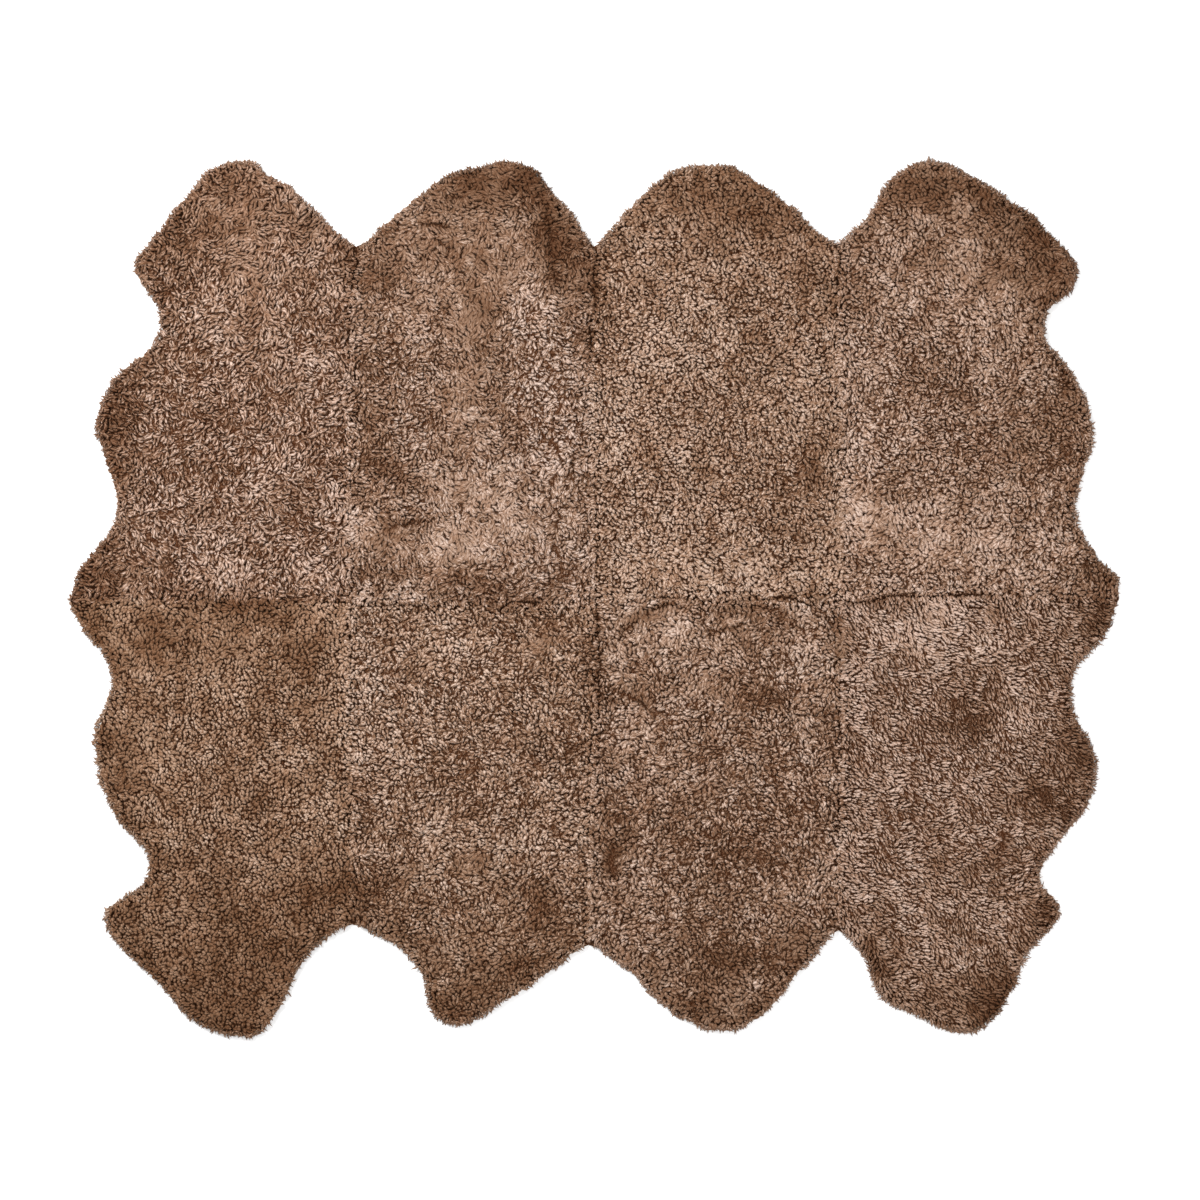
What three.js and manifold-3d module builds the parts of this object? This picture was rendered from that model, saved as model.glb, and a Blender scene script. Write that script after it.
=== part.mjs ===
// A lambskin rug: eight pelts of curly clipped wool, sewn edge to edge in two rows of four.
// The pelts lie rump to rump along one cross seam, so their necks make the scalloped long sides,
// and the legs and bellies of the outer pelts make the short sides.
// Millimetres, +Z up. The hides lie on Z = 0, and the wool stands on them as one body with them.
// The origin is on the floor, under the middle of the rug's box.

import * as THREE from "three";
import { mergeVertices } from "three/addons/utils/BufferGeometryUtils.js";
import Module from "manifold-3d";

const wasm = await Module();
wasm.setup();

// Heights of the wool over the floor
const WOOL_HEIGHT = 26; // away from edges and seams
const RIM_HEIGHT = 11; // where the wool reaches furthest out over a free edge
const SEAM_HEIGHT = 17; // where two pelts are sewn together

// Widths, from an edge into the pelt
const RIM_ROUNDING = 34; // over which the wool rises from a free edge to its full height
const SEAM_DIP = 32; // over which it rises from a seam
const HIDE_INSET = 8; // from the wool's reach to the cut edge of the hide under it
const SEAM_GAP = 0.3; // between the two pelts of a seam

// Soft mounds of the wool, in two sizes
const MOUNDS = [
  { across: 150, rise: 2.6 },
  { across: 76, rise: 1.8 },
];

// Locks that stand out from the wool at the free edges, each a slim pyramid with its root in the pelt
const LOCK = { spacing: 42, length: 20, width: 10, flatness: 0.7, standsOut: 7, droop: 3 };
const LOCK_SIDES = 4;
const LOCK_SWEEP = 0.55; // greatest sideways lean, as a share of the way out
const LOCK_CLEARANCE = 34; // from a lock to the end of a seam

// Steps of the faceted surface
const EDGE_STEP = 28; // along a free edge
const SEAM_STEP = 44; // along a seam
const LUMP_STEP = 38; // between points on top of the wool
const RING_INSET = 18; // from a free edge to the ring of points that rounds it

const WOOL_ROUGHNESS = 0.95;

// Places in the tables below are measured from the point where the cross seam meets the middle column
// seam: x to the right, y away. A seam or an edge is a smooth curve through its points.
const point = (x, y) => new THREE.Vector2(x, y);

const CROSS_SEAM = [
  point(-1102, 0),
  point(-760, -2),
  point(-300, -6),
  point(-80, -10),
  point(0, 0),
  point(520, 0),
  point(740, 8),
  point(1102, 4),
];

// The three column seams, each from the cross seam out to the notch between two necks.
const COLUMN_SEAMS = [
  {
    far: [point(-517, -4), point(-512, 378), point(-500, 743)],
    near: [point(-517, -4), point(-520, -105), point(-510, -420), point(-508, -680)],
  },
  {
    far: [point(0, 0), point(-4, 252), point(-6, 525), point(-1, 743)],
    near: [point(0, 0), point(4, -105), point(-2, -378), point(-12, -723)],
  },
  {
    far: [point(519, 0), point(517, 378), point(509, 747)],
    near: [point(519, 0), point(521, -210), point(519, -462), point(512, -692)],
  },
];

// The free edge of each pelt, from its left end to its right end. An inner pelt has only a neck. An outer
// pelt has, between its neck and the cross seam, a foreleg, an armpit, a belly, a flank and a hind leg.
const PELTS = [
  {
    name: "pelt_far_1",
    row: "far",
    column: 0,
    colour: 0x896a57,
    edge: [
      point(-1102, 0), // hind leg
      point(-1084, 68),
      point(-1016, 160), // flank
      point(-1010, 222),
      point(-1048, 368), // belly
      point(-1002, 479),
      point(-918, 552), // armpit
      point(-920, 617),
      point(-960, 664), // foreleg
      point(-970, 710),
      point(-930, 760),
      point(-808, 907), // neck
      point(-750, 930),
      point(-708, 924),
      point(-679, 892),
      point(-651, 886),
      point(-565, 804),
      point(-500, 743),
    ],
  },
  {
    name: "pelt_far_2",
    row: "far",
    column: 1,
    colour: 0x8b6e5b,
    edge: [
      point(-500, 743),
      point(-393, 838),
      point(-304, 898),
      point(-235, 914), // neck
      point(-178, 930),
      point(-126, 906),
      point(-74, 848),
      point(-30, 797),
      point(-1, 743),
    ],
  },
  {
    name: "pelt_far_3",
    row: "far",
    column: 2,
    colour: 0x8a6b57,
    edge: [
      point(-1, 743),
      point(109, 863),
      point(191, 913), // neck
      point(294, 913),
      point(355, 876),
      point(410, 832),
      point(509, 747),
    ],
  },
  {
    name: "pelt_far_4",
    row: "far",
    column: 3,
    colour: 0x886a58,
    edge: [
      point(509, 747),
      point(582, 827),
      point(615, 884),
      point(693, 930), // neck
      point(819, 880),
      point(956, 777),
      point(1014, 701), // foreleg
      point(1008, 649),
      point(953, 601), // armpit
      point(956, 546),
      point(1023, 454),
      point(1050, 336), // belly
      point(1025, 246),
      point(1012, 178), // flank
      point(1060, 92),
      point(1105, 46), // hind leg
      point(1102, 4),
    ],
  },
  {
    name: "pelt_near_1",
    row: "near",
    column: 0,
    colour: 0x7f614d,
    edge: [
      point(-1102, 0), // hind leg
      point(-1098, -34),
      point(-1027, -126), // flank
      point(-1018, -178),
      point(-1052, -294), // belly
      point(-1012, -452),
      point(-943, -531), // armpit
      point(-949, -590),
      point(-1025, -643), // foreleg
      point(-1023, -693),
      point(-914, -813),
      point(-850, -878), // neck
      point(-752, -922),
      point(-693, -907),
      point(-645, -840),
      point(-594, -739),
      point(-508, -680),
    ],
  },
  {
    name: "pelt_near_2",
    row: "near",
    column: 1,
    colour: 0x826451,
    edge: [
      point(-508, -680),
      point(-410, -737),
      point(-359, -802),
      point(-349, -857), // neck
      point(-288, -899),
      point(-235, -874),
      point(-136, -815),
      point(-12, -723),
    ],
  },
  {
    name: "pelt_near_3",
    row: "near",
    column: 2,
    colour: 0x7e6250,
    edge: [
      point(-12, -723),
      point(74, -785),
      point(162, -869),
      point(256, -909), // neck
      point(313, -901),
      point(384, -850),
      point(437, -777),
      point(512, -692),
    ],
  },
  {
    name: "pelt_near_4",
    row: "near",
    column: 3,
    colour: 0x836756,
    edge: [
      point(512, -692),
      point(563, -754),
      point(585, -817),
      point(626, -858), // neck
      point(692, -884),
      point(735, -911),
      point(775, -914),
      point(819, -899),
      point(884, -819),
      point(909, -750),
      point(983, -664), // foreleg
      point(976, -628),
      point(939, -584), // armpit
      point(968, -527),
      point(1044, -426), // belly
      point(1054, -326),
      point(1006, -214), // flank
      point(1014, -151),
      point(1086, -61), // hind leg
      point(1102, 4),
    ],
  },
];

// Partings and dents pressed into the wool: the middle of each, its length and heading in degrees from x,
// and its half width and depth.
const DENTS = [
  { x: -76, y: 110, length: 230, heading: 92, width: 36, depth: 7 },
  { x: -384, y: 153, length: 130, heading: 8, width: 26, depth: 4 },
  { x: -99, y: 770, length: 190, heading: 105, width: 55, depth: 5 },
  { x: -462, y: 655, length: 120, heading: 112, width: 44, depth: 5 },
  { x: -724, y: -22, length: 250, heading: 0, width: 42, depth: 5 },
  { x: -178, y: -14, length: 170, heading: -5, width: 40, depth: 5 },
  { x: 16, y: -126, length: 160, heading: 90, width: 34, depth: 5 },
  { x: 52, y: -546, length: 100, heading: 80, width: 44, depth: 6 },
  { x: -105, y: -640, length: 80, heading: 100, width: 52, depth: 5 },
  { x: 850, y: -525, length: 90, heading: 75, width: 38, depth: 6 },
  { x: -682, y: -735, length: 110, heading: 20, width: 66, depth: 4 },
];

// A number from 0 to 1 that is always the same for the same two whole numbers and seed.
function scatter(i, j, seed) {
  const wave = Math.sin(i * 127.1 + j * 311.7 + seed * 74.7) * 43758.5453;
  return wave - Math.floor(wave);
}

// Smooth noise from -1 to 1 over the floor, with mounds about as wide as across.
function noise(x, y, across, seed) {
  const u = x / across;
  const v = y / across;
  const i = Math.floor(u);
  const j = Math.floor(v);
  const s = THREE.MathUtils.smoothstep(u - i, 0, 1);
  const t = THREE.MathUtils.smoothstep(v - j, 0, 1);
  const low = THREE.MathUtils.lerp(scatter(i, j, seed), scatter(i + 1, j, seed), s);
  const high = THREE.MathUtils.lerp(scatter(i, j + 1, seed), scatter(i + 1, j + 1, seed), s);
  return 2 * THREE.MathUtils.lerp(low, high, t) - 1;
}

function moundsAt(p) {
  return MOUNDS.reduce((sum, m, seed) => sum + m.rise * noise(p.x, p.y, m.across, seed), 0);
}

function dentAt(p) {
  return DENTS.reduce((sum, d) => {
    const heading = THREE.MathUtils.degToRad(d.heading);
    const away = p.clone().sub(point(d.x, d.y)).rotateAround(point(0, 0), -heading);
    const along = (2 * away.x) / d.length;
    const aside = away.y / d.width;
    return sum + d.depth * Math.exp(-(along ** 4) - aside ** 2);
  }, 0);
}

// Points about a step apart along the smooth curve through the given ones.
function smooth(points, step) {
  const curve = new THREE.CatmullRomCurve3(
    points.map((p) => new THREE.Vector3(p.x, p.y, 0)),
    false,
    "centripetal",
  );
  const count = Math.max(2, Math.round(curve.getLength() / step));
  return curve.getSpacedPoints(count).map((p) => point(p.x, p.y));
}

// The cross seam's curve at x, as one point.
function onCrossSeam(x) {
  const right = CROSS_SEAM.findIndex((p) => p.x >= x);
  const b = CROSS_SEAM[Math.max(1, right)];
  const a = CROSS_SEAM[Math.max(1, right) - 1];
  return point(x, THREE.MathUtils.lerp(a.y, b.y, (x - a.x) / (b.x - a.x)));
}

const moved = (points, dx, dy) => points.map((p) => point(p.x + dx, p.y + dy));

// The outline of a pelt, anticlockwise, as its corners' places and whether each lies on a free edge.
function outlineOf(pelt) {
  const half = SEAM_GAP / 2;
  const up = pelt.row === "far" ? 1 : -1;
  const left = COLUMN_SEAMS[pelt.column - 1]?.[pelt.row];
  const right = COLUMN_SEAMS[pelt.column]?.[pelt.row];
  const free = smooth(pelt.edge, EDGE_STEP);
  const leftEnd = left ? left[0].x : pelt.edge[0].x;
  const rightEnd = right ? right[0].x : pelt.edge.at(-1).x;

  const crossFrom = leftEnd + (left ? half : 0);
  const crossTo = rightEnd - (right ? half : 0);
  const count = Math.round((crossTo - crossFrom) / SEAM_STEP);
  const cross = Array.from({ length: count + 1 }, (_, i) =>
    onCrossSeam(THREE.MathUtils.lerp(crossFrom, crossTo, i / count)),
  );
  const crossLine = moved(cross, 0, up * half);
  const leftLine = left ? moved(smooth(left, SEAM_STEP), half, up * half) : [];
  const rightLine = right ? moved(smooth(right, SEAM_STEP), -half, up * half) : [];

  // Round the pelt from the left end of the cross seam: cross seam, right seam, free edge, left seam.
  const sewn = (points) => points.map((p) => ({ p, free: false }));
  const loose = (points) => points.map((p) => ({ p, free: true }));
  const loop = [
    ...sewn(crossLine),
    ...sewn(rightLine.slice(1)),
    ...loose(free.slice(1, -1).reverse()),
    ...sewn(leftLine.slice(1).reverse()),
  ];
  return up > 0 ? loop : loop.reverse();
}

// The direction out of an outline at one of its corners.
function outward(loop, i) {
  const before = loop.at(i - 1).p;
  const after = loop[(i + 1) % loop.length].p;
  return point(after.y - before.y, before.x - after.x).normalize();
}

function distanceToLine(p, a, b) {
  const along = b.clone().sub(a);
  const share = THREE.MathUtils.clamp(p.clone().sub(a).dot(along) / along.lengthSq(), 0, 1);
  return p.distanceTo(a.clone().addScaledVector(along, share));
}

// Distances from a place inside an outline to its nearest free edge and its nearest seam.
function edgeDistances(loop, p) {
  const nearest = { free: Infinity, seam: Infinity };
  loop.forEach((corner, i) => {
    const next = loop[(i + 1) % loop.length];
    const kind = corner.free || next.free ? "free" : "seam";
    nearest[kind] = Math.min(nearest[kind], distanceToLine(p, corner.p, next.p));
  });
  return nearest;
}

// A rise from 0 at an edge to 1 at the given width, round like a quarter of an ellipse.
function rounded(distance, width) {
  const left = 1 - Math.min(1, distance / width);
  return Math.sqrt(1 - left * left);
}

// The height of the wool at a place inside a pelt.
function woolHeight(loop, p) {
  const away = edgeDistances(loop, p);
  const rim = (WOOL_HEIGHT - RIM_HEIGHT) * (1 - rounded(away.free, RIM_ROUNDING));
  const dip = (WOOL_HEIGHT - SEAM_HEIGHT) * (1 - rounded(away.seam, SEAM_DIP));
  const unevenness = rounded(Math.min(away.free, away.seam) + SEAM_DIP / 4, SEAM_DIP);
  const height = WOOL_HEIGHT - Math.max(rim, dip) + (moundsAt(p) - dentAt(p)) * unevenness;
  return Math.max(height, RIM_HEIGHT);
}

function isInside(loop, p) {
  let inside = false;
  loop.forEach(({ p: a }, i) => {
    const b = loop.at(i - 1).p;
    const crosses = a.y > p.y !== b.y > p.y;
    if (crosses && p.x < a.x + ((b.x - a.x) * (p.y - a.y)) / (b.y - a.y)) inside = !inside;
  });
  return inside;
}

// Places on top of the wool: a ring that rounds the free edges, then an uneven triangular grid.
function placesInside(loop) {
  const ring = loop.flatMap((corner, i) =>
    corner.free ? [corner.p.clone().addScaledVector(outward(loop, i), -RING_INSET)] : [],
  );
  const box = new THREE.Box2().setFromPoints(loop.map((corner) => corner.p));
  const rowStep = LUMP_STEP * Math.sin(Math.PI / 3);
  const grid = [];
  for (let j = 0; box.min.y + j * rowStep < box.max.y; j++) {
    for (let i = 0; box.min.x + i * LUMP_STEP < box.max.x; i++) {
      const shift = (scatter(i, j, 3) - 0.5) * 0.4 + (j % 2) / 2;
      const rise = (scatter(i, j, 4) - 0.5) * 0.4;
      const p = point(box.min.x + (i + shift) * LUMP_STEP, box.min.y + (j + rise) * rowStep);
      const away = isInside(loop, p) ? edgeDistances(loop, p) : { free: 0, seam: 0 };
      const clear = Math.min(away.free - RING_INSET / 2, away.seam) > 0.62 * LUMP_STEP;
      if (clear && ring.every((r) => r.distanceTo(p) > LUMP_STEP / 2)) grid.push(p);
    }
  }
  return [...ring, ...grid];
}

// The Delaunay triangulation of scattered places, adding one place at a time, as index triples that run
// anticlockwise.
function delaunay(places) {
  const box = new THREE.Box2().setFromPoints(places);
  const middle = box.getCenter(point(0, 0));
  const far = 20 * box.getSize(point(0, 0)).length();
  const corners = [point(-far, -far), point(far, -far), point(0, far)].map((p) => p.add(middle));
  const all = [...places, ...corners];
  const circle = (triple) => {
    const [a, b, c] = triple.map((i) => all[i]);
    const ab = b.clone().sub(a);
    const ac = c.clone().sub(a);
    const twice = 2 * ab.cross(ac);
    const x = (ac.y * ab.lengthSq() - ab.y * ac.lengthSq()) / twice;
    const y = (ab.x * ac.lengthSq() - ac.x * ab.lengthSq()) / twice;
    return { triple, centre: point(a.x + x, a.y + y), square: x * x + y * y };
  };
  const n = places.length;
  let made = [circle([n, n + 1, n + 2])];
  places.forEach((p, k) => {
    const open = made.filter((t) => t.centre.distanceToSquared(p) < t.square);
    const sides = new Map();
    for (const { triple } of open) {
      triple.forEach((a, i) => {
        const b = triple[(i + 1) % 3];
        if (!sides.delete(`${b} ${a}`)) sides.set(`${a} ${b}`, [a, b]);
      });
    }
    made = made.filter((t) => !open.includes(t));
    for (const [a, b] of sides.values()) made.push(circle([a, b, k]));
  });
  return made.map((t) => t.triple).filter((triple) => triple.every((i) => i < n));
}

// A closed mesh of points and faces as a solid that can be joined to others.
function solidOf(geometry) {
  const bare = geometry.clone();
  bare.deleteAttribute("normal");
  bare.deleteAttribute("uv");
  const merged = mergeVertices(bare, 1e-3);
  const vertProperties = new Float32Array(merged.attributes.position.array);
  const triVerts = new Uint32Array(merged.index.array);
  return new wasm.Manifold(new wasm.Mesh({ numProp: 3, vertProperties, triVerts }));
}

function geometryOf(solid) {
  const mesh = solid.getMesh();
  const geometry = new THREE.BufferGeometry();
  geometry.setAttribute("position", new THREE.BufferAttribute(mesh.vertProperties, 3));
  geometry.setIndex(new THREE.BufferAttribute(mesh.triVerts, 1));
  geometry.computeVertexNormals();
  return geometry;
}

// The pelt without its locks: lumpy wool on top, a flat hide below, and a wall that leans out to the
// wool's reach at a free edge and stands straight at a seam.
function slabOf(loop) {
  const places = [...loop.map((corner) => corner.p), ...placesInside(loop)];
  const hide = loop.map(({ p, free }, i) =>
    free ? p.clone().addScaledVector(outward(loop, i), -HIDE_INSET) : p,
  );
  const top = places.map((p, i) => (loop[i]?.free ? RIM_HEIGHT : woolHeight(loop, p)));
  const vertices = [
    ...places.map((p, i) => [p.x, p.y, top[i]]),
    ...hide.map((p) => [p.x, p.y, 0]),
  ];
  const inOutline = ([a, b, c]) => {
    const middle = places[a].clone().add(places[b]).add(places[c]).divideScalar(3);
    return isInside(loop, middle);
  };
  const below = (i) => places.length + (i % loop.length);
  const wool = delaunay(places).filter(inOutline);
  const walls = loop.flatMap((_, i) => {
    const next = (i + 1) % loop.length;
    return [
      [below(i), below(next), next],
      [below(i), next, i],
    ];
  });
  const floor = THREE.ShapeUtils.triangulateShape(hide, []).map(([a, b, c]) => [c, b, a].map(below));

  const geometry = new THREE.BufferGeometry();
  geometry.setAttribute("position", new THREE.Float32BufferAttribute(vertices.flat(), 3));
  geometry.setIndex([...wool, ...walls, ...floor].flat());
  return solidOf(geometry);
}

// The locks of a pelt, evenly spaced along its free edge, each leaning its own way.
function locksOf(loop, seed) {
  const free = loop.flatMap((corner, i) => (corner.free ? [i] : []));
  const seamEnds = loop.flatMap((corner) => (corner.free ? [] : [corner.p]));
  const every = LOCK.spacing / EDGE_STEP;
  const locks = [];
  for (let k = 0; k * every < free.length; k++) {
    const i = free[Math.floor(k * every)];
    const { p } = loop[i];
    if (seamEnds.some((end) => end.distanceTo(p) < LOCK_CLEARANCE)) continue;
    const lean = LOCK_SWEEP * (2 * scatter(k, seed, 5) - 1);
    const lock = new THREE.ConeGeometry(LOCK.width / 2, LOCK.length, LOCK_SIDES);
    lock.translate(0, LOCK.standsOut - LOCK.length / 2, 0);
    lock.scale(1, 1, LOCK.flatness);
    lock.rotateX(-Math.atan(LOCK.droop / LOCK.length));
    lock.rotateZ(outward(loop, i).angle() - Math.PI / 2 + Math.atan(lean));
    lock.translate(p.x, p.y, RIM_HEIGHT);
    locks.push(solidOf(lock));
  }
  return locks;
}

function makePelt(pelt, seed) {
  const loop = outlineOf(pelt);
  const solid = locksOf(loop, seed).reduce((sum, lock) => sum.add(lock), slabOf(loop));
  const wool = new THREE.MeshStandardMaterial({
    color: pelt.colour,
    roughness: WOOL_ROUGHNESS,
    metalness: 0,
  });
  const mesh = new THREE.Mesh(geometryOf(solid), wool);
  mesh.name = pelt.name;
  return mesh;
}

const rug = new THREE.Group();
PELTS.forEach((pelt, seed) => rug.add(makePelt(pelt, seed)));

const middle = new THREE.Box3().setFromObject(rug).getCenter(new THREE.Vector3());
rug.position.set(-middle.x, -middle.y, 0);

export default rug;
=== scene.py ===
import math
from collections import namedtuple

import bpy
import numpy as np
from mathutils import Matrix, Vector
from mathutils.bvhtree import BVHTree
from mathutils.geometry import delaunay_2d_cdt


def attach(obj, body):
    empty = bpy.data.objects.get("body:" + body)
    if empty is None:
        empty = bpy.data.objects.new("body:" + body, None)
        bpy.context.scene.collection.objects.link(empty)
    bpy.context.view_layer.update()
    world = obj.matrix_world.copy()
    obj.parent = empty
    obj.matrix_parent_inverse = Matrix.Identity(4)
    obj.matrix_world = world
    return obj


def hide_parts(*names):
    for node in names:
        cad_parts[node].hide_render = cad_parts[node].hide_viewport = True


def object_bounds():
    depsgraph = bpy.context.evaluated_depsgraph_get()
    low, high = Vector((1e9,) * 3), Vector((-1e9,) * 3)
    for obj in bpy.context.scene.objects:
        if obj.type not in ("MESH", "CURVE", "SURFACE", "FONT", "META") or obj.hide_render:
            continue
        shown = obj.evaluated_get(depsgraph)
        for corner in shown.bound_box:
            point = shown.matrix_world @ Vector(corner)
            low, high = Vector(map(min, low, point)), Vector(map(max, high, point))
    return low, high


bl_info = {
    "name": "Lambskin Rug",
    "version": (1, 0, 0),
    "blender": (4, 5, 0),
    "location": "3D View > Sidebar > Lambskin Rug",
    "description": "Dresses a rug of eight pelts with curly wool locks on bare hides",
    "category": "Object",
}

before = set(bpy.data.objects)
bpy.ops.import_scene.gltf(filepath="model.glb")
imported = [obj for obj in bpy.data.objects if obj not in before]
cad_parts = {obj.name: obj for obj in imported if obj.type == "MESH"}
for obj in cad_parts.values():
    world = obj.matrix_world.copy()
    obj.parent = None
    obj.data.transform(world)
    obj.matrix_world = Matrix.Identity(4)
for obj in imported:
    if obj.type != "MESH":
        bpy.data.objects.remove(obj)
CAD_BOX = [list(corner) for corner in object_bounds()]
PELTS = sorted(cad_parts)

MM = 0.001
SEED = 7

# How the wool of each pelt grows, lengths in millimetres: the spacing, length and width of its locks, how
# far their tips turn down, how wildly they turn from the heading (degrees from x) in which they lie, how
# much their heights differ, the width of the clumps they gather in, how deep the cracks between those are
# (they are also darkened there with painted shade) and how much the locks of a clump are felted into one
# (below 0 they stand out more), how much lighter they are than the other pelts in tones, and their tint.
Growth = namedtuple("Growth", "spacing length width curl wild heading rough clump crack felt tone tint")
GROWTHS = {
    "pelt_far_1": Growth(7.6, 14, 8.2, 0.7, 1.1, -60, 1.5, 20, 1.0, -0.05, 0.25, (1.0, 0.98, 0.98)),
    "pelt_far_2": Growth(7.2, 12, 9.2, 0.8, 0.8, -80, 1.1, 18, 1.0, 0.05, 0.3, (1.0, 1.01, 1.03)),
    "pelt_far_3": Growth(7.3, 10, 9.6, 1.0, 0.8, -95, 1.0, 18, 0.6, 0.0, 0.4, (1.0, 0.985, 0.96)),
    "pelt_far_4": Growth(7.3, 11, 9.3, 0.9, 0.8, -110, 1.0, 20, 0.8, 0.1, 0.42, (1.0, 0.99, 0.99)),
    "pelt_near_1": Growth(7.0, 9.0, 8.5, 1.0, 0.7, 70, 0.7, 20, 0.4, 0.65, 0.32, (1.0, 0.98, 0.935)),
    "pelt_near_2": Growth(7.4, 11, 9.3, 0.9, 0.9, 85, 1.2, 21, 0.9, 0.05, 0.34, (1.0, 0.99, 0.97)),
    "pelt_near_3": Growth(7.4, 11, 9.3, 0.9, 0.9, 95, 1.3, 22, 1.0, 0.1, 0.45, (0.99, 0.985, 0.985)),
    "pelt_near_4": Growth(7.0, 12.5, 6.6, 0.6, 0.35, -35, 1.0, 26, 0.8, 0.0, 0.45, (0.99, 0.975, 0.975)),
}
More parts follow.
